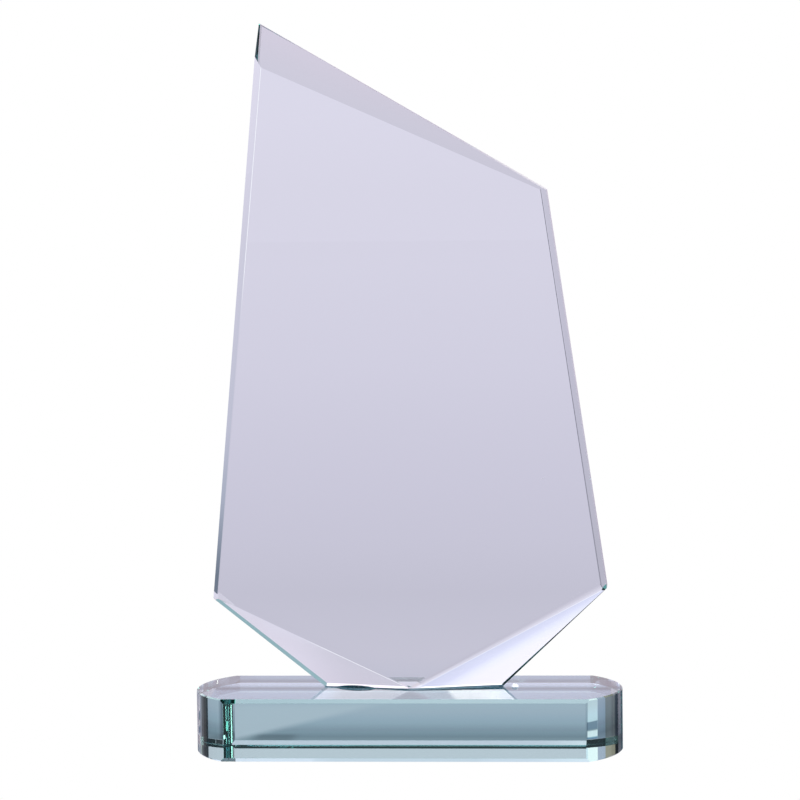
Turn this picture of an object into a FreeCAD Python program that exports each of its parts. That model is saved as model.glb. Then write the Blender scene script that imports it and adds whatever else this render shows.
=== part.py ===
import FreeCAD, Part

import math
import os

# Glass award: a faceted pointed plaque of 10 mm float glass, bonded upright on
# a 20 mm glass plinth with a thin film of clear UV-cured adhesive.
#
# Frame: origin at the centre of the plinth's underside. +X to the viewer's
# right, the engraving side of the plaque faces -Y, +Z up. Millimetres and degrees.

V = FreeCAD.Vector
FRONT, BACK = -1, 1   # sign of y on each side

# Plinth: a bar of polished plate with bowed ends
BASE_W = 137.0        # overall width across the bowed ends
BASE_D = 50.0
BASE_H = 20.0
BASE_END_SAG = 11.0   # how far each bowed end stands out from its corners
BASE_END_ARRIS = 0.4  # fine chamfer round the bowed ends, top and bottom
TOP_BEVEL_H = 1.2     # bevel on the long top edges, height on the upright face
TOP_BEVEL_TILT = 48.0    # its angle from the upright face
BOTTOM_BEVEL_H = 1.35    # 45 degree bevel on the long bottom edges

# Adhesive film between the plinth and the plaque
FILM_T = 0.3
FOOT_Z = BASE_H + FILM_T  # underside of the plaque

# Plaque: corners of the outline in the XZ plane
PLAQUE_T = 10.0
PEAK = (-45.45, 233.0)
SHOULDER = (45.55, 179.60)
RIGHT_CORNER = (63.80, 52.60)
FOOT_RIGHT = (30.20, FOOT_Z)
FOOT_LEFT = (-27.40, FOOT_Z)
LEFT_CORNER = (-62.35, 49.60)
# Clockwise from the peak, seen from the front
OUTLINE = [PEAK, SHOULDER, RIGHT_CORNER, FOOT_RIGHT, FOOT_LEFT, LEFT_CORNER]
INSIDE = (0.0, 120.0)     # a point well inside the outline

# Front facets: each starts on the front face along the line start-end (x, z)
# and drops away from the face at the tilt.
FACETS_MEET = (0.90, FOOT_Z)  # where the two lower facets meet at the foot
FRONT_FACETS = [
    # start, end, tilt
    ((-44.25, 219.10), (44.60, 179.35), 25.0),   # top
    ((-59.51, 48.97), FACETS_MEET, 26.0),        # lower left
    (FACETS_MEET, (61.49, 52.75), 23.5),         # lower right
    ((-44.40, 219.10), (-60.60, 52.50), 25.0),   # left side
    ((43.95, 179.00), (62.05, 52.70), 25.0),     # right side
]

# Back bevels: one along each side of the outline
BACK_BEVELS = [
    # start, end, width across the back face, tilt from the back face
    (LEFT_CORNER, PEAK, 0.5, 45.0),
    (PEAK, SHOULDER, 1.0, 45.0),
    (SHOULDER, RIGHT_CORNER, 0.6, 45.0),
    (RIGHT_CORNER, FOOT_RIGHT, 1.5, 45.0),
    (FOOT_LEFT, LEFT_CORNER, 1.6, 27.0),
    (FOOT_RIGHT, FOOT_LEFT, 1.3, 25.0),
]

# Bead of adhesive squeezed out under the lower left facet
BEAD_X0, BEAD_X1 = -24.0, -10.3  # its ends along the foot's front edge
BEAD_R = 0.95                    # radius at its middle
BEAD_END_R = 0.36                # radius at its blunt ends

# Stray droplet of adhesive on the plinth, a spherical dome
DROP_X, DROP_Y = 34.0, 1.2
DROP_R = 1.25                    # footprint radius
DROP_H = 1.05

# Small round voids through the film: x, y, radius
BUBBLES = [(-6.3, -2.55, 0.34), (-4.6, -2.75, 0.22), (-2.9, -3.1, 0.28),
           (3.4, 2.2, 0.18), (12.6, 0.9, 0.15), (-14.0, 2.9, 0.16)]

CLIP_SIZE = 700.0  # side of the cutting box, larger than any piece


def clip(solid, point, normal):
    """Keep the part of a solid that lies behind a plane."""
    box = Part.makeBox(CLIP_SIZE, CLIP_SIZE, CLIP_SIZE,
                       V(-CLIP_SIZE / 2, -CLIP_SIZE / 2, 0))
    turn = FreeCAD.Rotation(V(0, 0, 1), V(*normal).normalize())
    box.Placement = FreeCAD.Placement(V(*point), turn)
    return solid.cut(box)


def clip_below_plinth_top(solid):
    return clip(solid, (0, 0, BASE_H), (0, 0, -1))


def outward(start, end):
    """Unit normal of the line start-end in the XZ plane, away from INSIDE."""
    dx, dz = end[0] - start[0], end[1] - start[1]
    length = math.hypot(dx, dz)
    nx, nz = dz / length, -dx / length
    if (INSIDE[0] - start[0]) * nx + (INSIDE[1] - start[1]) * nz > 0:
        nx, nz = -nx, -nz
    return nx, nz


def grind(slab, side, start, end, tilt, inset=0.0):
    """Grind a plane that leaves the front or back face at the tilt, along the
    line start-end moved inwards by the inset."""
    nx, nz = outward(start, end)
    sin_tilt = math.sin(math.radians(tilt))
    cos_tilt = math.cos(math.radians(tilt))
    point = (start[0] - nx * inset, side * PLAQUE_T / 2, start[1] - nz * inset)
    return clip(slab, point, (nx * sin_tilt, side * cos_tilt, nz * sin_tilt))


def make_plaque():
    corners = [V(x, -PLAQUE_T / 2, z) for x, z in OUTLINE]
    face = Part.Face(Part.makePolygon(corners + [corners[0]]))
    slab = face.extrude(V(0, PLAQUE_T, 0))
    for start, end, tilt in FRONT_FACETS:
        slab = grind(slab, FRONT, start, end, tilt)
    for start, end, width, tilt in BACK_BEVELS:
        slab = grind(slab, BACK, start, end, tilt, inset=width)
    return slab.Solids[0]


def make_base():
    corner_x = BASE_W / 2 - BASE_END_SAG
    corner_y = BASE_D / 2
    front_left, front_right = V(-corner_x, -corner_y, 0), V(corner_x, -corner_y, 0)
    back_left, back_right = V(-corner_x, corner_y, 0), V(corner_x, corner_y, 0)
    outline = Part.Wire([
        Part.makeLine(front_left, front_right),
        Part.Arc(front_right, V(BASE_W / 2, 0, 0), back_right).toShape(),
        Part.makeLine(back_right, back_left),
        Part.Arc(back_left, V(-BASE_W / 2, 0, 0), front_left).toShape()])
    bar = Part.Face(outline).extrude(V(0, 0, BASE_H))
    end_edges = [e for e in bar.Edges if isinstance(e.Curve, Part.Circle)]
    bar = bar.makeChamfer(BASE_END_ARRIS, end_edges)
    tilt = math.radians(TOP_BEVEL_TILT)
    for side in (FRONT, BACK):
        bar = clip(bar, (0, side * corner_y, BASE_H - TOP_BEVEL_H),
                   (0, side * math.cos(tilt), math.sin(tilt)))
        bar = clip(bar, (0, side * corner_y, BOTTOM_BEVEL_H), (0, side, -1))
    return bar.Solids[0]


def make_bead(foot, plaque, base):
    """Blunt spindle along the foot's front left edge, trimmed to the glass."""
    corners = [vertex.Point for vertex in foot.Vertexes]
    # Two corners share the lowest x; the y term picks the front one
    left = min(corners, key=lambda p: p.x + 0.2 * p.y)
    front = min(corners, key=lambda p: p.y)

    def on_edge(x):
        along = (x - left.x) / (front.x - left.x)
        return V(x, left.y + along * (front.y - left.y), BASE_H)

    start = on_edge(BEAD_X0)
    axis = on_edge(BEAD_X1).sub(start)
    length = axis.Length
    # Half profile on the X axis, bounded by a flat arc
    start_rim, end_rim = V(0, BEAD_END_R, 0), V(length, BEAD_END_R, 0)
    profile = Part.Wire([
        Part.makeLine(V(0, 0, 0), start_rim),
        Part.Arc(start_rim, V(length / 2, BEAD_R, 0), end_rim).toShape(),
        Part.makeLine(end_rim, V(length, 0, 0)),
        Part.makeLine(V(length, 0, 0), V(0, 0, 0))])
    spindle = Part.Face(profile).revolve(V(0, 0, 0), V(1, 0, 0), 360).Solids[0]
    heading = math.degrees(math.atan2(axis.y, axis.x))
    spindle.Placement = FreeCAD.Placement(start, FreeCAD.Rotation(V(0, 0, 1), heading))
    return clip_below_plinth_top(spindle.cut(base).cut(plaque))


def make_film(plaque, base):
    """Film under the plaque's flat underside, with its voids and the bead."""
    foot = min(plaque.Faces, key=lambda f: f.BoundBox.ZMax)
    film = foot.extrude(V(0, 0, -FILM_T))
    for x, y, radius in BUBBLES:
        # One film thickness to spare above and below
        film = film.cut(Part.makeCylinder(radius, FILM_T * 3, V(x, y, BASE_H - FILM_T)))
    film = film.fuse(make_bead(foot, plaque, base)).removeSplitter()
    return max(film.Solids, key=lambda s: s.Volume)


def make_droplet():
    # Sphere whose cap has the given footprint and height
    radius = (DROP_R ** 2 + DROP_H ** 2) / (2 * DROP_H)
    ball = Part.makeSphere(radius, V(DROP_X, DROP_Y, BASE_H + DROP_H - radius))
    return clip_below_plinth_top(ball).Solids[0]


def main():
    os.makedirs("parts", exist_ok=True)
    plaque = make_plaque()
    base = make_base()
    pieces = {
        "crystal_base": base,
        "crystal_plaque": plaque,
        "adhesive_film": make_film(plaque, base),
        "adhesive_droplet": make_droplet(),
    }
    for name, shape in pieces.items():
        shape.exportStep(os.path.join("parts", name + ".step"))


main()
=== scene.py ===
"""A faceted glass plaque glued upright on a bow-ended glass plinth.

Metres, +Z up. The plinth stands on z = 0 with its length along x and the
plaque's front faces -y, towards the camera. Visible adhesive: the film under
the plaque's foot, banks along its front edges and one stray droplet.
"""
import math

import bmesh
import bpy
from mathutils import Matrix, Vector


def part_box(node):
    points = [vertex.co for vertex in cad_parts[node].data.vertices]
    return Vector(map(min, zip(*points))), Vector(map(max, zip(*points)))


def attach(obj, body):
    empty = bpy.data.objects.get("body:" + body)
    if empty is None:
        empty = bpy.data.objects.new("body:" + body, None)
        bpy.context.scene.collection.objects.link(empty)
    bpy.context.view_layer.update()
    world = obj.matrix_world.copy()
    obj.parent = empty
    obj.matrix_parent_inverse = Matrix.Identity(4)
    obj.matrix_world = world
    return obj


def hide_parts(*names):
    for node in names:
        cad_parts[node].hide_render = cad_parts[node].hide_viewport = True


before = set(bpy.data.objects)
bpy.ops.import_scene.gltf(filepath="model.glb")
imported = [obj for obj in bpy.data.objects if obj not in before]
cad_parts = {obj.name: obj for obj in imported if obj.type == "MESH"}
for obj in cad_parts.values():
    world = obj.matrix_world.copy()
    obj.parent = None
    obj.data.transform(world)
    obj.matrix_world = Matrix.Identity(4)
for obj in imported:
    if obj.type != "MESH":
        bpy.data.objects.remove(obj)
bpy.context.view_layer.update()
scene = bpy.context.scene

MM = 0.001
UP = Vector((0, 0, 1))
WHITE = (1, 1, 1, 1)
BLACK = (0.0, 0.0, 0.0)

# half length, half width and height of the plinth
HX, HY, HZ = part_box("crystal_base")[1]

# adhesive sizes that the glass materials also use
GAP = 0.02 * MM                     # keeps the adhesive clear of both glass faces
FILM_MID = 0.15 * MM                # the film's middle, above the plinth's top
BEAD_X = (-24.0 * MM, -10.3 * MM)   # where the bead starts and ends
BEAD_R = 0.95 * MM
BEAD_TAPER = 0.75                   # power that shapes the bead's thin ends


# ------------------------------------------------------------------ mesh helpers
def as_object(bm, name):
    bmesh.ops.recalc_face_normals(bm, faces=bm.faces)
    mesh = bpy.data.meshes.new(name)
    bm.to_mesh(mesh)
    bm.free()
    obj = bpy.data.objects.new(name, mesh)
    scene.collection.objects.link(obj)
    return obj


def dissolve_flat(bm, degrees):
    """Weld the mesh and join faces that lie in one plane."""
    bmesh.ops.remove_doubles(bm, verts=bm.verts, dist=2e-6)
    bmesh.ops.dissolve_limit(bm, angle_limit=math.radians(degrees), verts=bm.verts,
                             edges=bm.edges, use_dissolve_boundaries=False)
    bmesh.ops.recalc_face_normals(bm, faces=bm.faces)


def arris(bm, edges, width, segments=2):
    """Fine polished arris along the given edges."""
    bmesh.ops.bevel(bm, geom=edges, offset=width, offset_type="OFFSET",
                    segments=segments, profile=0.5, affect="EDGES",
                    clamp_overlap=True)


def soften(obj, degrees):
    """Smooth shading, with every edge sharper than the angle kept crisp."""
    bm = bmesh.new()
    bm.from_mesh(obj.data)
    for face in bm.faces:
        face.smooth = True
    for edge in bm.edges:
        if len(edge.link_faces) == 2:
            edge.smooth = edge.calc_face_angle(0) < math.radians(degrees)
    bm.to_mesh(obj.data)
    bm.free()


def skin(bm, rings):
    """Join closed rings of equal count side to side and cap both ends."""
    count = len(rings[0])
    for low, high in zip(rings, rings[1:]):
        for i in range(count):
            j = (i + 1) % count
            bm.faces.new((low[i], low[j], high[j], high[i]))
    bm.faces.new(rings[0][::-1])
    bm.faces.new(rings[-1])


def sides(loop):
    """Each side of a closed outline as (start, end)."""
    return zip(loop, loop[1:] + loop[:1])


def finish_piece(obj, material, piece):
    obj.data.materials.append(material)
    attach(obj, "root")
    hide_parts(piece)


# ------------------------------------------------------------------ node helpers
class Nodes:
    """Short-hand for building node arithmetic."""

    def __init__(self, tree):
        self.tree = tree

    def new(self, kind):
        return self.tree.nodes.new(kind)

    def put(self, socket, value):
        if isinstance(value, bpy.types.NodeSocket):
            self.tree.links.new(value, socket)
        else:
            socket.default_value = value

    def math(self, op, *args, clamp=False):
        node = self.new("ShaderNodeMath")
        node.operation = op
        node.use_clamp = clamp
        for socket, value in zip(node.inputs, args):
            self.put(socket, value)
        return node.outputs[0]

    def add(self, first, second, clamp=False):
        return self.math("ADD", first, second, clamp=clamp)

    def sub(self, first, second):
        return self.math("SUBTRACT", first, second)

    def mul(self, first, second):
        return self.math("MULTIPLY", first, second)

    def vec(self, op, *args):
        node = self.new("ShaderNodeVectorMath")
        node.operation = op
        for socket, value in zip(node.inputs, args):
            self.put(socket, value)
        return node.outputs["Value"] if op in ("DOT_PRODUCT", "LENGTH") else node.outputs[0]

    def dot(self, first, second):
        return self.vec("DOT_PRODUCT", first, second)

    def flip(self, value):
        node = self.new("ShaderNodeVectorMath")
        node.operation = "SCALE"
        node.inputs["Scale"].default_value = -1.0
        self.put(node.inputs[0], value)
        return node.outputs[0]

    def step(self, value, start, end):
        """0 at start, 1 at end, smooth between."""
        node = self.new("ShaderNodeMapRange")
        node.interpolation_type = "SMOOTHSTEP"
        self.put(node.inputs["Value"], value)
        rising = start < end
        node.inputs["From Min"].default_value = min(start, end)
        node.inputs["From Max"].default_value = max(start, end)
        node.inputs["To Min"].default_value = 0.0 if rising else 1.0
        node.inputs["To Max"].default_value = 1.0 if rising else 0.0
        return node.outputs[0]

    def span(self, value, start, end, soft):
        """1 between start and end, falling off over soft outside them."""
        return self.mul(self.step(value, start - soft, start),
                        self.step(value, end + soft, end))

    def mask(self, *limits):
        """Product of (value, limit) pairs. A limit of two numbers is a step's
        start and end, one of three is a span's start, end and softness."""
        product = None
        for value, limit in limits:
            part = (self.step if len(limit) == 2 else self.span)(value, *limit)
            product = part if product is None else self.mul(product, part)
        return product

    def mix(self, factor, first, second, blend="MIX"):
        node = self.new("ShaderNodeMix")
        node.data_type = "RGBA"
        node.blend_type = blend
        self.put(node.inputs[0], factor)
        for socket, value in ((node.inputs[6], first), (node.inputs[7], second)):
            is_link = isinstance(value, bpy.types.NodeSocket)
            self.put(socket, value if is_link else (*value, 1.0))
        return node.outputs[2]

    def tint(self, first, second):
        return self.mix(1.0, first, second, blend="MULTIPLY")

    def ramp(self, value, stops, ends=None):
        """Colours placed along a value, given as (place, (r, g, b)). The ramp
        runs between ends, or else from the first stop to the last."""
        low, high = ends or (stops[0][0], stops[-1][0])
        node = self.new("ShaderNodeValToRGB")
        node.color_ramp.interpolation = "LINEAR"
        self.put(node.inputs[0], self.math("DIVIDE", self.sub(value, low), high - low))
        elements = node.color_ramp.elements
        while len(elements) < len(stops):
            elements.new(0.5)
        for i, (place, _) in enumerate(stops):
            elements[i].position = (place - low) / (high - low)
        for i, (_, colour) in enumerate(stops):
            elements[i].color = (*colour, 1.0)
        return node.outputs[0]

    def noise(self, point, scale, detail, rough):
        node = self.new("ShaderNodeTexNoise")
        node.inputs["Scale"].default_value = scale
        node.inputs["Detail"].default_value = detail
        node.inputs["Roughness"].default_value = rough
        self.put(node.inputs["Vector"], point)
        return node.outputs[0]

    def from_line(self, point, start, end):
        """Distance along the line from start, and squared distance off it."""
        rel = self.vec("SUBTRACT", point, tuple(start))
        along = self.dot(rel, tuple((end - start).normalized()))
        off_squared = self.sub(self.math("POWER", self.vec("LENGTH", rel), 2.0),
                               self.math("POWER", along, 2.0))
        return along, off_squared


def new_material(name):
    material = bpy.data.materials.new(name)
    material.use_nodes = True
    material.node_tree.nodes.clear()
    return material, Nodes(material.node_tree)


# ------------------------------------------------------------------ glass
FILM_REACH = 0.17 * MM     # half height of the wetted slab about the film's middle
FILM_INSET = 0.01 * MM     # the wetted slab stops this far inside the foot
BEAD_WET = 0.97            # wetted part of the bead's radius
WET_IOR = 1.0001           # light passes straight on

HAZE = dict(scale=38.0, detail=4.0, rough=0.6)
HAZE_STEP, HAZE_ROUGH = (0.55, 0.80), 0.010
PIT_STEP, PIT_ROUGH, PIT_DEPTH = (0.80, 0.84), 0.05, 0.004
WAVE = dict(scale=11.0, detail=1.0, rough=0.4)
WAVE_HEIGHT = 0.05
BUMP_STRENGTH, BUMP_DISTANCE = 0.35, 0.00004

# the plaque's one scuff: ends, half width, ragged edge, fade at the ends
SCUFF = (Vector((0.0431, -0.005, 0.0875)), Vector((0.0446, -0.005, 0.0884)))
SCUFF_HALF = 0.00016
SCUFF_RAGGED = dict(scale=2500.0, detail=2.0, rough=0.6)
SCUFF_WOBBLE = 1.2                 # in half widths, as are the edges
SCUFF_EDGE = (1.7, 1.1)
SCUFF_FADE = 0.0002
SCUFF_ROUGH, SCUFF_DEPTH = 0.45, 0.6

# painted glow of the clouded adhesive: emission that stands in for light scattered in its
# milky body
PAINTED_GLOW_COLOUR, PAINTED_GLOW_STRENGTH = (0.80, 0.80, 0.88, 1), 0.25

TINTED = dict(ior=1.52, density=12.0, colour=(0.063, 0.649, 0.5965))


def on_edge(foot, x):
    """The point at x along the foot's front left edge, on the plinth's top."""
    left = min(foot, key=lambda p: p.x + 0.2 * p.y)
    toe = min(foot, key=lambda p: p.y)
    t = (x - left.x) / (toe.x - left.x)
    return Vector((x, left.y + t * (toe.y - left.y), HZ))


def wetted(net, point, foot):
    """1 where the adhesive touches the glass, so that light passes straight on
    there instead of meeting a polished face: under the foot and the bead."""
    height = net.sub(net.dot(point, (0, 0, 1)), HZ)
    film = net.math("COMPARE", height, FILM_MID, FILM_REACH)
    for start, end in sides(foot):
        outward = Vector((end.y - start.y, start.x - end.x, 0)).normalized()
        beyond = net.sub(net.dot(point, tuple(outward)), outward.dot(start) - FILM_INSET)
        film = net.mul(film, net.math("LESS_THAN", beyond, 0.0))

    start, end = (on_edge(foot, x) for x in BEAD_X)
    along, off_squared = net.from_line(point, start, end)
    off = net.math("POWER", net.math("MAXIMUM", off_squared, 0.0), 0.5)
    t = net.sub(net.math("DIVIDE", along, (end - start).length / 2), 1.0)
    t = net.math("MAXIMUM", net.sub(1.0, net.mul(t, t)), 0.0)
    reach = net.mul(net.math("POWER", t, BEAD_TAPER), BEAD_R * BEAD_WET)
    return net.math("MAXIMUM", film, net.math("LESS_THAN", off, reach))


def scuff_line(net, point):
    """1 on the scuff, with a ragged edge."""
    start, end = SCUFF
    along, off_squared = net.from_line(point, start, end)
    off = net.math("POWER", off_squared, 0.5)
    wobble = net.mul(net.noise(point, **SCUFF_RAGGED), SCUFF_HALF * SCUFF_WOBBLE)
    line = net.step(net.add(off, wobble), *(SCUFF_HALF * edge for edge in SCUFF_EDGE))
    return net.mul(line, net.span(along, 0.0, (end - start).length, SCUFF_FADE))


def glass(name, foot, ior, density, colour, specks, scuffed=False, cloud_and_painted_glow=0.0):
    """Polished tinted glass or adhesive with faint haze and dust-fine pits; clouded
    adhesive also gets a painted glow.
    """
    material, net = new_material(name)
    out = net.new("ShaderNodeOutputMaterial")
    bsdf = net.new("ShaderNodeBsdfPrincipled")
    point = net.new("ShaderNodeTexCoord").outputs["Object"]

    haze = net.step(net.noise(point, **HAZE), *HAZE_STEP)
    pit = net.step(net.noise(point, scale=specks, detail=1.0, rough=0.4), *PIT_STEP)
    rough = net.add(net.mul(haze, HAZE_ROUGH), net.mul(pit, PIT_ROUGH))
    height = net.mul(net.noise(point, **WAVE), WAVE_HEIGHT)
    height = net.sub(height, net.mul(pit, PIT_DEPTH))
    if scuffed:
        line = scuff_line(net, point)
        rough = net.add(rough, net.mul(line, SCUFF_ROUGH), clamp=True)
        height = net.sub(height, net.mul(line, SCUFF_DEPTH))
    net.put(bsdf.inputs["Roughness"], rough)

    bump = net.new("ShaderNodeBump")
    bump.inputs["Strength"].default_value = BUMP_STRENGTH
    bump.inputs["Distance"].default_value = BUMP_DISTANCE
    net.put(bump.inputs["Height"], height)
    net.put(bsdf.inputs["Normal"], bump.outputs[0])

    bsdf.inputs["Base Color"].default_value = WHITE
    wet = wetted(net, point, foot)
    net.put(bsdf.inputs["IOR"], net.sub(ior, net.mul(wet, ior - WET_IOR)))
    # clouding lowers transmission (real); its emission below is a painted glow standing in
    # for scattered light
    bsdf.inputs["Transmission Weight"].default_value = 1.0 - cloud_and_painted_glow
    if cloud_and_painted_glow:
        bsdf.inputs["Emission Color"].default_value = PAINTED_GLOW_COLOUR
        bsdf.inputs["Emission Strength"].default_value = PAINTED_GLOW_STRENGTH
    net.put(out.inputs["Surface"], bsdf.outputs[0])

    volume = net.new("ShaderNodeVolumeAbsorption")
    volume.inputs["Color"].default_value = (*colour, 1)
    volume.inputs["Density"].default_value = density
    net.put(out.inputs["Volume"], volume.outputs[0])
    return material


# ------------------------------------------------------------------ plaque
RIM = 0.07 * MM         # arris round the outline
RIDGE = 0.26 * MM       # softened line where a facet leaves the front face
SOFT_RIDGE = 1.0 * MM   # the same on the lower right facet, polished over wide
FOOT_MIN_AREA = 1e-5    # smaller faces are slivers of arris


def sharp_edges(bm, front):
    """Edges sharper than 15 degrees, on the front facets or round the rim."""
    bm.normal_update()
    return [e for e in bm.edges
            if len(e.link_faces) == 2 and e.calc_face_angle(0) > math.radians(15)
            and front == all(f.normal.y < -0.5 for f in e.link_faces)]


def build_plaque():
    """The plaque and the outline of its foot, counter-clockwise from above."""
    bm = bmesh.new()
    bm.from_mesh(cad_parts["crystal_plaque"].data)
    dissolve_flat(bm, 0.3)

    lower_right = [e for e in sharp_edges(bm, front=True)
                   if any(f.normal.x > 0.1 and f.normal.z < -0.1 for f in e.link_faces)
                   and any(f.normal.y < -0.999 for f in e.link_faces)]
    arris(bm, lower_right, SOFT_RIDGE, segments=8)
    # ridges of upward-facing facets stay crisp
    ridges = [e for e in sharp_edges(bm, front=True)
              if not any(f.normal.z > 0.1 for f in e.link_faces)]
    arris(bm, ridges, RIDGE, segments=3)
    arris(bm, sharp_edges(bm, front=False), RIM)

    bm.normal_update()
    bottom = min((f for f in bm.faces if f.calc_area() > FOOT_MIN_AREA),
                 key=lambda f: f.calc_center_median().z)
    foot = [v.co.copy() for v in bottom.verts]
    if sum(a.x * b.y - b.x * a.y for a, b in sides(foot)) < 0:
        foot.reverse()
    return as_object(bm, "plaque"), foot


# ------------------------------------------------------------------ plinth
SAG = 11 * MM           # how far each end bows out
END_ARRIS = 0.4 * MM    # chamfer round the bowed ends
LONG_ARRIS = 0.05 * MM  # arris along the long edges
END_R = (HY * HY + SAG * SAG) / (2 * SAG)
END_CENTRE = HX - END_R
END_STEPS = 120         # steps round each bowed end
# chamfers along the front and back: height where each starts, slope of its normal
LONG_CHAMFERS = ((HZ - 1.2 * MM, math.tan(math.radians(48.0))),
                 (1.35 * MM, -1.0))


def plinth_ring(bm, z, radius):
    """The plinth's outline at one height, its bowed ends struck at a radius."""
    half_angle = math.asin(HY / radius)
    ring = []
    for side in (1, -1):
        for i in range(END_STEPS + 1):
            t = side * (-half_angle + 2 * half_angle * i / END_STEPS)
            x = side * (END_CENTRE + radius * math.cos(t))
            ring.append(bm.verts.new((x, radius * math.sin(t), z)))
    return ring


def build_plinth():
    bm = bmesh.new()
    levels = ((0.0, END_R - END_ARRIS), (END_ARRIS, END_R),
              (HZ - END_ARRIS, END_R), (HZ, END_R - END_ARRIS))
    skin(bm, [plinth_ring(bm, z, radius) for z, radius in levels])
    for side in (-1, 1):
        for z, slope in LONG_CHAMFERS:
            cut = bmesh.ops.bisect_plane(
                bm, geom=bm.verts[:] + bm.edges[:] + bm.faces[:], dist=1e-7,
                plane_co=(0, side * HY, z),
                plane_no=Vector((0, side, slope)).normalized(), clear_outer=True)
            rim = [e for e in cut["geom_cut"] if isinstance(e, bmesh.types.BMEdge)]
            bmesh.ops.edgenet_fill(bm, edges=rim)
    dissolve_flat(bm, 0.05)
    long_edges = [e for e in bm.edges if len(e.link_faces) == 2
                  and e.calc_length() > 5 * MM
                  and e.calc_face_angle(0) > math.radians(20)]
    arris(bm, long_edges, LONG_ARRIS)
    plinth = as_object(bm, "base")
    soften(plinth, 11)
    return plinth


# ------------------------------------------------------------------ adhesive bond
# small round voids in the film: x, y, radius in mm
VOIDS = ((-6.3, -2.55, 0.34), (-4.6, -2.75, 0.22), (-2.9, -3.1, 0.28),
         (3.4, 2.2, 0.18), (12.6, 0.9, 0.15), (-14.0, 2.9, 0.16))
VOID_DEPTH = 0.8 * MM

OPEN = math.radians(66.0)     # angle between plinth and facet that the banks fill
APEX_OFFSET = 1.6 * GAP       # from the true corner to the banks' inner edge
BANK_LIFT = UP * 0.01 * MM
BEAD_END_R = 0.03 * MM        # least radius of the bead
FILLET_INSET = 0.05 * MM      # the fillets stop short of the corners
# fillet radius at the bead's end, the toe and the right heel
FILLET_R = (0.20, 0.40, 0.78)  # mm


def cut_film(foot):
    """The film under the foot, with its voids, as a bmesh."""
    bm = bmesh.new()
    levels = (HZ + GAP, min(p.z for p in foot) - GAP)
    skin(bm, [[bm.verts.new((p.x, p.y, z)) for p in foot] for z in levels])
    blank = as_object(bm, "film")

    bm = bmesh.new()
    for x, y, radius in VOIDS:
        place = Matrix.Translation((x * MM, y * MM, HZ + FILM_MID))
        bmesh.ops.create_cone(bm, cap_ends=True, segments=24, radius1=radius * MM,
                              radius2=radius * MM, depth=VOID_DEPTH, matrix=place)
    cutter = as_object(bm, "voids")

    boolean = blank.modifiers.new("voids", "BOOLEAN")
    boolean.operation = "DIFFERENCE"
    boolean.solver = "EXACT"
    boolean.object = cutter
    bpy.context.view_layer.update()
    depsgraph = bpy.context.evaluated_depsgraph_get()
    mesh = bpy.data.meshes.new_from_object(blank.evaluated_get(depsgraph))
    bm = bmesh.new()
    bm.from_mesh(mesh)
    bpy.data.objects.remove(cutter)
    bpy.data.objects.remove(blank)
    return bm


def heading(start, end):
    """Unit vectors along a foot edge and out in front of it."""
    along = (end - start).normalized()
    return along, Vector((along.y, -along.x, 0)).normalized()


def add_bank(bm, start, end, apex, radius_at, steps, fan, swell, inset=0.0):
    """A fan-shaped bank of adhesive along one foot edge. Its face bulges by
    swell, or dips where swell is negative."""
    along, ahead = heading(start, end)
    start, end = start + along * inset, end - along * inset
    rows = []
    for i in range(steps + 1):
        t = i / steps
        radius = radius_at(t)
        centre = start.lerp(end, t) + apex + BANK_LIFT
        row = [bm.verts.new(centre)]
        for j in range(fan + 1):
            angle = OPEN * j / fan
            bulge = 1 + swell * math.sin(math.pi * j / fan)
            spoke = ahead * math.cos(angle) + UP * math.sin(angle)
            row.append(bm.verts.new(centre + spoke * radius * bulge))
        rows.append(row)
    skin(bm, rows)


def bead_radius(t):
    return max(BEAD_R * (1 - (2 * t - 1) ** 2) ** BEAD_TAPER, BEAD_END_R)


def build_bond(foot):
    bm = cut_film(foot)
    # the squeezed-out bead lying in the angle under the lower left facet
    start, end = (on_edge(foot, x) for x in BEAD_X)
    ahead = heading(start, end)[1]
    apex = (ahead * math.cos(OPEN / 2) + UP * math.sin(OPEN / 2)) * APEX_OFFSET
    add_bank(bm, start, end, apex, bead_radius, steps=64, fan=14, swell=0.10)

    # a fine fillet along the foot's front edges, fuller to the right
    toe = min(foot, key=lambda p: p.y)
    heel = max(foot, key=lambda p: p.x - 0.2 * p.y)
    corners = (end, Vector((toe.x, toe.y, HZ)), Vector((heel.x, heel.y, HZ)))
    for i in range(2):
        first, last = FILLET_R[i:i + 2]
        add_bank(bm, corners[i], corners[i + 1], apex,
                 lambda t: (first + (last - first) * t) * MM,
                 steps=24, fan=8, swell=-0.12, inset=FILLET_INSET)
    bond = as_object(bm, "adhesive_bond")
    soften(bond, 25)
    return bond


# ------------------------------------------------------------------ droplet
DROP = Vector((34.0 * MM, 1.2 * MM, HZ))
DROP_R, DROP_H = 1.25 * MM, 1.05 * MM
DROP_LIP = 0.015 * MM    # height of the upright edge round its bottom
DOME_STEPS = 24


def revolve(bm, profile, steps=48):
    """A closed solid from (radius, height) rings that ends on the axis."""
    loops = []
    for radius, z in profile:
        if radius < 1e-9:
            loops.append([bm.verts.new((0, 0, z))])
        else:
            loops.append([bm.verts.new((radius * math.cos(2 * math.pi * i / steps),
                                        radius * math.sin(2 * math.pi * i / steps), z))
                          for i in range(steps)])
    for a, b in zip(loops, loops[1:]):
        for i in range(steps):
            j = (i + 1) % steps
            quad = [a[i % len(a)], a[j % len(a)], b[j % len(b)], b[i % len(b)]]
            # a quad that touches the axis becomes a triangle
            bm.faces.new(list(dict.fromkeys(quad)))


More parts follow.
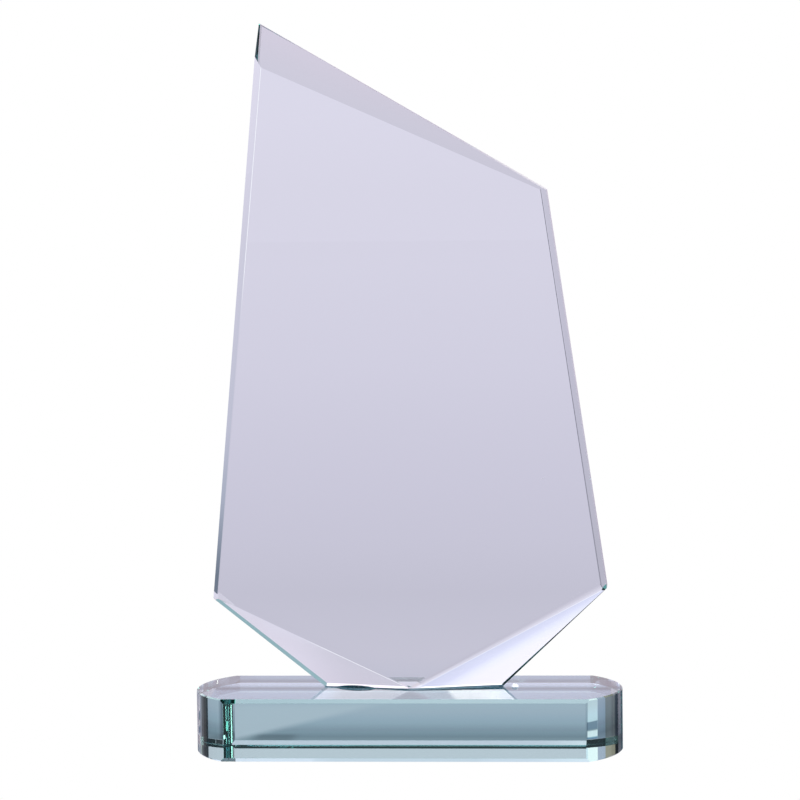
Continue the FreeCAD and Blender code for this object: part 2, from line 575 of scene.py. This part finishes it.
def build_droplet():
    ball = (DROP_R ** 2 + DROP_H ** 2) / (2 * DROP_H)
    rim_angle = math.asin(DROP_R / ball)
    profile = [(0.0, GAP), (DROP_R * 0.5, GAP), (DROP_R * 0.97, GAP),
               (DROP_R, GAP + DROP_LIP)]
    for i in range(1, DOME_STEPS):
        angle = rim_angle * (1 - i / DOME_STEPS)
        profile.append((ball * math.sin(angle), DROP_H - ball + ball * math.cos(angle)))
    profile.append((0.0, DROP_H))
    bm = bmesh.new()
    revolve(bm, profile)
    for vert in bm.verts:
        vert.co += DROP
    droplet = as_object(bm, "droplet")
    soften(droplet, 35)
    return droplet


# ------------------------------------------------------------------ studio
# A plain photo studio, described by direction: a pale lilac sweep behind the
# award, a broad bright panel above it, panels and dark flags to the sides, and
# a dark room with soft boxes in front. Azimuth is measured from the camera's
# own heading, positive to the right, so the set-up is the same whichever side
# the award is seen from. All angles are in degrees. Limits are those of
# Nodes.mask: (start, end) of a step or (start, end, softness) of a span.
EL_ENDS = (-40, 90)

# elevation, colour of the sweep behind the award
BACK = [
    (-40, (0.66, 0.61, 0.73)), (-13, (0.78, 0.71, 0.85)), (-8.3, (0.77, 0.71, 0.86)),
    (-6.7, (0.755, 0.69, 0.845)), (-2.5, (0.79, 0.722, 0.86)), (-1.2, (0.825, 0.755, 0.90)),
    (4, (0.83, 0.76, 0.91)), (10, (0.85, 0.735, 0.84)), (18, (1.03, 0.89, 1.05)),
    (26, (1.05, 0.91, 1.09)), (31, (0.86, 0.79, 0.94)), (42, (0.80, 0.775, 0.88)),
    (47, (1.05, 1.0, 1.10)), (62, (1.05, 1.0, 1.08)), (67, (0.04, 0.05, 0.05)),
    (90, (0.04, 0.05, 0.05))]
# the same for the room in front of the award, and to either side
FRONT = [
    (-40, (0.66, 0.61, 0.73)), (-8, (0.62, 0.58, 0.70)), (-1, (0.42, 0.40, 0.47)),
    (12, (0.42, 0.41, 0.48)), (30, (0.10, 0.10, 0.11)), (42, (0.08, 0.08, 0.09)),
    (50, (1.0, 0.98, 1.0)), (62, (1.0, 0.98, 1.0)), (67, (0.04, 0.05, 0.05)),
    (90, (0.04, 0.05, 0.05))]
SIDE = [(-40, (0.5, 0.47, 0.55)), (-6, (0.35, 0.33, 0.40)), (0, (0.02, 0.03, 0.03)),
        (90, (0.03, 0.035, 0.04))]
FRONT_STEP = (140, 150)             # azimuth to either side
SIDE_STEPS = ((72, 76), (150, 140))

# the strong panel high on the left: its pale surround, then its two tones
PANEL_TOP = (34, 29)
SURROUND_AZ, SURROUND_EL = (-3.0, -5.5), (-0.5, 2.5)
SURROUND_COLOUR = (1.10, 1.07, 1.22)
PANEL_AZ, PANEL_EL = (-6.40, -6.60), (12, 18)
PANEL_TURN = (-7.4, -8.0)           # azimuth where the tone changes
PANEL_TONES = ((2.08, 1.98, 2.06), (1.74, 1.66, 1.74))

# cool fade at the panel's lower edge, along a line that tilts with azimuth
FADE_TILT, FADE_OFFSET = 0.55, 3.685
FADE_AZ, FADE_EL = (-8.8, -5.6, 0.5), (4.5, 10.0, 1.0)
FADE = [(5, (0.70, 0.70, 0.80)), (6.2, (0.70, 0.70, 0.80)), (6.9, (0.775, 0.775, 0.88)),
        (7.25, (0.88, 0.88, 0.94)), (7.5, (0.94, 0.935, 0.965)), (8.0, (1.0, 0.97, 0.98)),
        (10, (1.0, 0.97, 0.98))]

# patches right of centre: azimuth limit, elevation limit, strength, colour
RIGHT_PATCHES = (
    ((2.5, 9.5, 1.0), (19.5, 25.5, 1.0), 1, (1.42, 1.28, 1.42)),
    ((5.8, 11.0, 1.0), (4.0, 12.0, 1.5), 0.135, BLACK),
    ((3.9, 5.6, 0.5), (-4.0, 3.0, 1.0), 1, (1.14, 1.09, 1.18)),
    ((11.5, 22.5, 1.5), (14.5, 24.0, 1.0), 1, (0.34, 0.50, 0.56)))  # grey-green screen
# soft fold and faint shade on the sweep's left
LEFT_PATCHES = (
    ((-7.6, -4.2, 0.7), (-11.5, -0.5, 1.0), 0.85, (0.05, 0.05, 0.10)),
    ((-15.0, -9.5, 1.5), (1.0, -2.0), 0.12, (0.0, 0.0, 0.05)))

# how the sweep falls off low down on its right: elevation, tint
FALL_AZ = ((7.0, 12.0), (28.0, 24.0))
FALL = [
    (-40, (1, 1, 1)), (-17.5, (1, 1, 1)), (-16.5, (0.04, 0.10, 0.11)),
    (-13.6, (0.04, 0.10, 0.11)), (-12.8, (1, 1, 1)), (-10.5, (0.5, 0.55, 0.6)),
    (-9.4, (0.20, 0.26, 0.30)), (-8.9, (0.26, 0.34, 0.38)), (-8.2, (0.62, 0.70, 0.74)),
    (-7, (0.88, 0.92, 0.93)), (-4.5, (0.97, 0.98, 0.98)), (-2.5, (1.08, 1.08, 1.08)),
    (0, (1.12, 1.12, 1.12)), (4, (1, 1, 1))]

# what stands to the left and right of the sweep, near to far: azimuth where it
# starts, softness (signed outward), colour below and above the table's horizon
FLANKS = (
    (-23.5, -0.5, (1.50, 1.34, 1.50), (1.45, 1.30, 1.35)),
    (-29.5, -0.5, (0.66, 0.605, 0.79), (0.64, 0.58, 0.74)),
    (-36.0, -0.5, (0.42, 0.36, 0.40), (0.52, 0.40, 0.33)),
    (-41.0, -5.0, (0.30, 0.25, 0.28), (0.42, 0.32, 0.25)),
    (-50.0, -0.6, (0.09, 0.08, 0.12), (0.02, 0.02, 0.025)),
    (-62.0, -1.0, (0.13, 0.13, 0.16), (0.06, 0.06, 0.07)),
    (37.5, 0.4, (0.07, 0.07, 0.08), (0.05, 0.045, 0.055)),
    (44.0, 2.0, (0.17, 0.16, 0.19), (0.12, 0.11, 0.13)),
    (50.0, 0.4, (0.60, 0.56, 0.60), (0.80, 0.75, 0.60)),
    (51.5, 0.4, (0.36, 0.33, 0.41), (0.30, 0.28, 0.34)),
    (66.0, 2.0, (0.20, 0.19, 0.23), (0.10, 0.10, 0.12)))
FLANK_HORIZON, FLANK_TOP = (-2.0, 1.0), (68, 62)

# a long light overhead, running front to back with dark between: elevation
# limit, limit of azimuth to either side, colour
OVERHEAD = (
    ((50, 62, 3.0), (60, 50), (1.05, 1.0, 1.08)),
    ((50, 62, 3.0), (119, 122), (1.0, 0.98, 1.02)),
    ((46, 66, 3.0), (61, 119, 2.0), (0.03, 0.035, 0.04)))
ZENITH_EL, ZENITH_COLOUR = (83, 85), (0.85, 0.82, 0.85)

# soft boxes and flags: azimuth from and to, elevation from and to, colour
BOXES = (
    (116.8, 118.8, 8.0, 11.0, (6.5, 4.6, 4.4)),
    (-159.3, -155.3, 8.8, 11.0, (9.0, 6.0, 6.0)),
    (122, 132, -2.0, 4.2, (1.8, 2.4, 2.2)),
    (110.5, 118.5, 15, 42, (1.6, 1.7, 1.7)),
    (-107, -67, 29, 48, (0.15, 0.18, 0.19)),
    (99, 109, 38, 47, (1.2, 1.2, 1.2)),
    (-96.5, -86.5, 50, 66, (0.68, 0.68, 0.76)),
    (28.0, 35.0, 30, 37, (0.04, 0.05, 0.06)))
BOX_SOFT_AZ, BOX_SOFT_EL = 0.6, 0.8


def angles(net, direction):
    """Azimuth from the camera's heading, and elevation, in degrees."""
    direction = net.vec("NORMALIZE", direction)
    turn = net.new("ShaderNodeVectorTransform")
    turn.vector_type = "VECTOR"
    turn.convert_from = "CAMERA"
    turn.convert_to = "WORLD"
    turn.inputs[0].default_value = (0, 0, 1)
    ahead = net.vec("NORMALIZE", net.vec("MULTIPLY", turn.outputs[0], (1, 1, 0)))
    right = net.vec("CROSS_PRODUCT", ahead, (0, 0, 1))
    across, forward = net.dot(direction, right), net.dot(direction, ahead)
    rise = net.dot(direction, (0, 0, 1))
    az = net.mul(net.math("ARCTAN2", across, forward), 180 / math.pi)
    el = net.mul(net.math("ARCSINE", rise), 180 / math.pi)
    return az, el


def paint_patches(net, colour, az, el, patches):
    for az_limit, el_limit, strength, patch in patches:
        mask = net.mask((az, az_limit), (el, el_limit))
        if strength != 1:
            mask = net.mul(mask, strength)
        colour = net.mix(mask, colour, patch)
    return colour


def paint_sweep(net, az, el):
    """The sweep behind the award, with its panel, patches and shading."""
    colour = net.ramp(el, BACK)
    mask = net.mask((az, SURROUND_AZ), (el, SURROUND_EL), (el, PANEL_TOP))
    colour = net.mix(mask, colour, SURROUND_COLOUR)
    mask = net.mask((az, PANEL_AZ), (el, PANEL_EL), (el, PANEL_TOP))
    colour = net.mix(mask, colour, net.mix(net.step(az, *PANEL_TURN), *PANEL_TONES))

    fade = net.sub(el, net.add(net.mul(az, FADE_TILT), FADE_OFFSET))
    faded = net.tint(colour, net.ramp(fade, FADE))
    colour = net.mix(net.mask((az, FADE_AZ), (el, FADE_EL)), colour, faded)

    colour = paint_patches(net, colour, az, el, RIGHT_PATCHES)
    fallen = net.tint(colour, net.ramp(el, FALL, ends=EL_ENDS))
    colour = net.mix(net.mask(*((az, limit) for limit in FALL_AZ)), colour, fallen)
    return paint_patches(net, colour, az, el, LEFT_PATCHES)


def paint_room(net, colour, az, el):
    """Everything round the sweep: flanks, room, overhead light, soft boxes."""
    above, below_top = net.step(el, *FLANK_HORIZON), net.step(el, *FLANK_TOP)
    for edge, soft, low, high in FLANKS:
        mask = net.mul(net.step(az, edge, edge + soft), below_top)
        colour = net.mix(mask, colour, net.mix(above, low, high))

    side = net.math("ABSOLUTE", az)
    colour = net.mix(net.step(side, *FRONT_STEP), colour, net.ramp(el, FRONT))
    mask = net.mask(*((side, limit) for limit in SIDE_STEPS))
    colour = net.mix(mask, colour, net.ramp(el, SIDE))

    for el_limit, side_limit, light in OVERHEAD:
        colour = net.mix(net.mask((el, el_limit), (side, side_limit)), colour, light)
    colour = net.mix(net.step(el, *ZENITH_EL), colour, ZENITH_COLOUR)
    boxes = [((left, right, BOX_SOFT_AZ), (low, high, BOX_SOFT_EL), 1, light)
             for left, right, low, high, light in BOXES]
    return paint_patches(net, colour, az, el, boxes)


def studio_group():
    group = bpy.data.node_groups.new("studio", "ShaderNodeTree")
    for name, in_out, kind in (("Direction", "INPUT", "NodeSocketVector"),
                               ("Color", "OUTPUT", "NodeSocketColor"),
                               ("Azimuth", "OUTPUT", "NodeSocketFloat")):
        group.interface.new_socket(name, in_out=in_out, socket_type=kind)
    net = Nodes(group)
    group_in, group_out = net.new("NodeGroupInput"), net.new("NodeGroupOutput")
    az, el = angles(net, group_in.outputs[0])
    colour = paint_room(net, paint_sweep(net, az, el), az, el)
    net.put(group_out.inputs[0], colour)
    net.put(group_out.inputs[1], az)
    return group


def use_studio(net, studio, direction):
    """The studio's colour and azimuth outputs for a direction."""
    node = net.new("ShaderNodeGroup")
    node.node_tree = studio
    net.put(node.inputs[0], direction)
    return node.outputs


def white_to_camera(net, shader, output, colour):
    """Plain white to the camera, the given colour to every other ray."""
    seen, white = net.new(shader), net.new(shader)
    net.put(seen.inputs[0], colour)
    white.inputs[0].default_value = WHITE
    mix = net.new("ShaderNodeMixShader")
    net.put(mix.inputs[0], net.new("ShaderNodeLightPath").outputs["Is Camera Ray"])
    net.put(mix.inputs[1], seen.outputs[0])
    net.put(mix.inputs[2], white.outputs[0])
    net.put(net.new(output).inputs["Surface"], mix.outputs[0])


# ------------------------------------------------------------------ table shade
# Places on the table are in mm here.
# square root of the distance from the plinth, shade
FAR_ENDS = (0, 55)
FAR = [
    (0.0, (0.95, 1.0, 1.05)), (1.6, (0.75, 0.82, 0.88)), (2.8, (0.46, 0.53, 0.55)),
    (3.6, (0.40, 0.46, 0.47)), (4.1, (0.345, 0.41, 0.43)), (5.0, (0.43, 0.51, 0.53)),
    (5.6, (0.48, 0.54, 0.57)), (6.4, (0.585, 0.666, 0.685)), (7.2, (0.65, 0.71, 0.74)),
    (8.1, (0.73, 0.76, 0.775)), (8.8, (0.745, 0.785, 0.795)), (13.3, (0.82, 0.82, 0.82)),
    (18.5, (0.80, 0.80, 0.80)), (22.7, (0.855, 0.855, 0.855)), (27, (0.89, 0.89, 0.89)),
    (38, (0.95, 0.95, 0.95)), (50, (0.98, 0.98, 0.98))]
END_INSET = 0.006           # metres taken off the half length for that distance

# the lit corner behind the plinth on the left, past a slanting line
LIT_SLOPE, LIT_OFFSET = 1.7, 135.4
LIT_EDGE, LIT_ROOT = (-9, 9), (9.6, 8.4)
LIT_COLOUR = (0.86, 0.87, 0.86)

# the darkest of the shade, just inside that line
DARK_X, DARK_Y = (-50, -42, 5), (33, 43, 6)
DARK_STRENGTH, DARK_COLOUR = 0.35, (0.05, 0.07, 0.08)

# under the plinth: depth in from its long side, shade
UNDER = [
    (0.0, (1.25, 1.35, 1.5)), (2.5, (1.0, 1.15, 1.3)), (5.0, (0.55, 0.72, 0.85)),
    (8.0, (0.02, 0.10, 0.16)), (10.5, (0.05, 0.18, 0.28)), (13.5, (0.50, 0.68, 0.85)),
    (25, (0.42, 0.60, 0.78))]
FORWARD_SHIFT = 2.7         # added depth for rays heading back past the camera
UNDER_END = 0.004           # metres: the under-shade stops this far from the ends
PLAQUE_SHADOW_X = (-22, 22, 6)     # painted shadow of the plaque on the table under the plinth's middle
PLAQUE_SHADOW_STRENGTH, PLAQUE_SHADOW_COLOUR = 0.6, (0.05, 0.08, 0.10)

# open table seen by rays heading to the left: a bright gap between dark strips
STRIP_AZ, STRIP_Y = (-29.5, -23.5, 0.3), (26.0, 61.6, 1.6)
STRIP = [
    (30, (0.165, 0.21, 0.31)), (34.2, (0.165, 0.21, 0.31)), (36.2, (0.22, 0.36, 0.43)),
    (37.8, (0.78, 0.80, 0.78)), (46.0, (0.76, 0.78, 0.75)), (48.6, (0.22, 0.27, 0.30)),
    (50.5, (0.18, 0.235, 0.29)), (65, (0.20, 0.252, 0.307))]
DIM_Y, DIM_STRENGTH = (66, 98), 0.20


def table_shade(net, point, az):
    """How much light reaches the table, by place: full far off, dim in the
    plinth's own shade, and patchy under the glass itself."""
    x, y = net.dot(point, (1000, 0, 0)), net.dot(point, (0, 1000, 0))
    over = net.vec("SUBTRACT", net.vec("ABSOLUTE", point), (HX - END_INSET, HY, 0.0))
    over = net.vec("MULTIPLY", net.vec("MAXIMUM", over, (0, 0, 0)), (1, 1, 0))
    root = net.math("POWER", net.mul(net.vec("LENGTH", over), 1000), 0.5)
    far = net.ramp(root, FAR, ends=FAR_ENDS)
    away = net.sub(y, net.add(net.mul(x, LIT_SLOPE), LIT_OFFSET))
    far = net.mix(net.mask((away, LIT_EDGE), (root, LIT_ROOT)), far, LIT_COLOUR)
    mask = net.mul(net.mask((x, DARK_X), (y, DARK_Y)), DARK_STRENGTH)
    far = net.mix(mask, far, DARK_COLOUR)

    side = net.dot(net.vec("ABSOLUTE", point), (0, 1, 0))
    deep = net.mul(net.sub(HY, side), 1000)
    toward = net.math("GREATER_THAN", net.math("ABSOLUTE", az), 90.0)
    shift = net.mul(net.mul(toward, FORWARD_SHIFT), net.math("GREATER_THAN", deep, 0.0))
    deep = net.add(deep, shift)
    under = net.ramp(deep, UNDER)
    end = net.dot(net.vec("ABSOLUTE", point), (1, 0, 0))
    inside = net.mul(net.math("GREATER_THAN", deep, 0.0),
                     net.math("LESS_THAN", end, HX - UNDER_END))
    # painted shadow of the plaque, laid over the middle of the under-plinth shade
    middle = net.mul(net.span(x, *PLAQUE_SHADOW_X), PLAQUE_SHADOW_STRENGTH)
    under = net.mix(middle, under, PLAQUE_SHADOW_COLOUR)
    shade = net.mix(inside, far, under)

    strip = net.ramp(y, STRIP)
    open_table = net.mul(net.span(az, *STRIP_AZ), net.sub(1.0, inside))
    dim = net.mul(net.mul(open_table, net.step(y, *DIM_Y)), DIM_STRENGTH)
    shade = net.mix(dim, shade, BLACK)
    return net.mix(net.mul(open_table, net.span(y, *STRIP_Y)), shade, strip)


# ------------------------------------------------------------------ floor, world, camera
FLOOR_HALF, FLOOR_Z = 3.0, -0.0003


def build_floor(studio):
    bm = bmesh.new()
    bmesh.ops.create_grid(bm, x_segments=1, y_segments=1, size=FLOOR_HALF,
                          matrix=Matrix.Translation((0, 0, FLOOR_Z)))
    mesh = bpy.data.meshes.new("floor")
    bm.to_mesh(mesh)
    bm.free()
    floor = bpy.data.objects.new("floor", mesh)
    scene.collection.objects.link(floor)

    material, net = new_material("floor")
    geometry = net.new("ShaderNodeNewGeometry")
    colour, az = use_studio(net, studio, net.flip(geometry.outputs["Incoming"]))
    shade = table_shade(net, geometry.outputs["Position"], az)
    white_to_camera(net, "ShaderNodeEmission", "ShaderNodeOutputMaterial",
                    net.tint(colour, shade))
    floor.data.materials.append(material)


def build_world(studio):
    world = bpy.data.worlds.new("studio")
    scene.world = world
    world.use_nodes = True
    world.node_tree.nodes.clear()
    net = Nodes(world.node_tree)
    direction = net.new("ShaderNodeTexCoord").outputs["Generated"]
    colour = use_studio(net, studio, direction)[0]
    white_to_camera(net, "ShaderNodeBackground", "ShaderNodeOutputWorld", colour)


CAMERA_PLACE = (0.096742, -1.326047, 0.236056)
# the camera's own right, and the way back from the award to it
CAMERA_RIGHT = Vector((0.997260, 0.073040, -0.012048))
CAMERA_BACK = Vector((0.07384, -0.99299, 0.09234))


def build_camera():
    data = bpy.data.cameras.new("camera")
    camera = bpy.data.objects.new("camera", data)
    scene.collection.objects.link(camera)
    data.sensor_width = 36.0
    data.lens = 188.11
    data.clip_start = 0.05
    data.clip_end = 20.0
    back = CAMERA_BACK.normalized()
    up = back.cross(CAMERA_RIGHT.normalized()).normalized()
    right = up.cross(back)
    turn = Matrix((right, up, back)).transposed().to_4x4()
    camera.matrix_world = Matrix.Translation(CAMERA_PLACE) @ turn
    scene.camera = camera


def set_render():
    scene.view_settings.view_transform = "Standard"
    scene.view_settings.look = "None"
    scene.cycles.max_bounces = 48
    scene.cycles.transmission_bounces = 48
    scene.cycles.glossy_bounces = 24
    scene.cycles.transparent_max_bounces = 16


# ------------------------------------------------------------------ assembly
plaque, foot = build_plaque()
base_glass = glass("base_glass", foot, specks=1300.0, **TINTED)
plaque_glass = glass("plaque_glass", foot, specks=900.0, scuffed=True, **TINTED)
# painted shade: dense teal absorption darkens the clear adhesive's film and bead, standing
# in for the darkness they show by refraction
adhesive = glass("clear_adhesive", foot, ior=1.49, density=2500.0,
                 colour=(0.05, 0.42, 0.47), specks=2200.0)
droplet_glue = glass("clear_adhesive_drop", foot, ior=1.49, density=60.0,
                     colour=(0.35, 0.85, 0.90), specks=2200.0, cloud_and_painted_glow=0.15)

finish_piece(plaque, plaque_glass, "crystal_plaque")
finish_piece(build_plinth(), base_glass, "crystal_base")
finish_piece(build_bond(foot), adhesive, "adhesive_film")
finish_piece(build_droplet(), droplet_glue, "adhesive_droplet")

studio = studio_group()
build_floor(studio)
build_world(studio)
build_camera()
set_render()
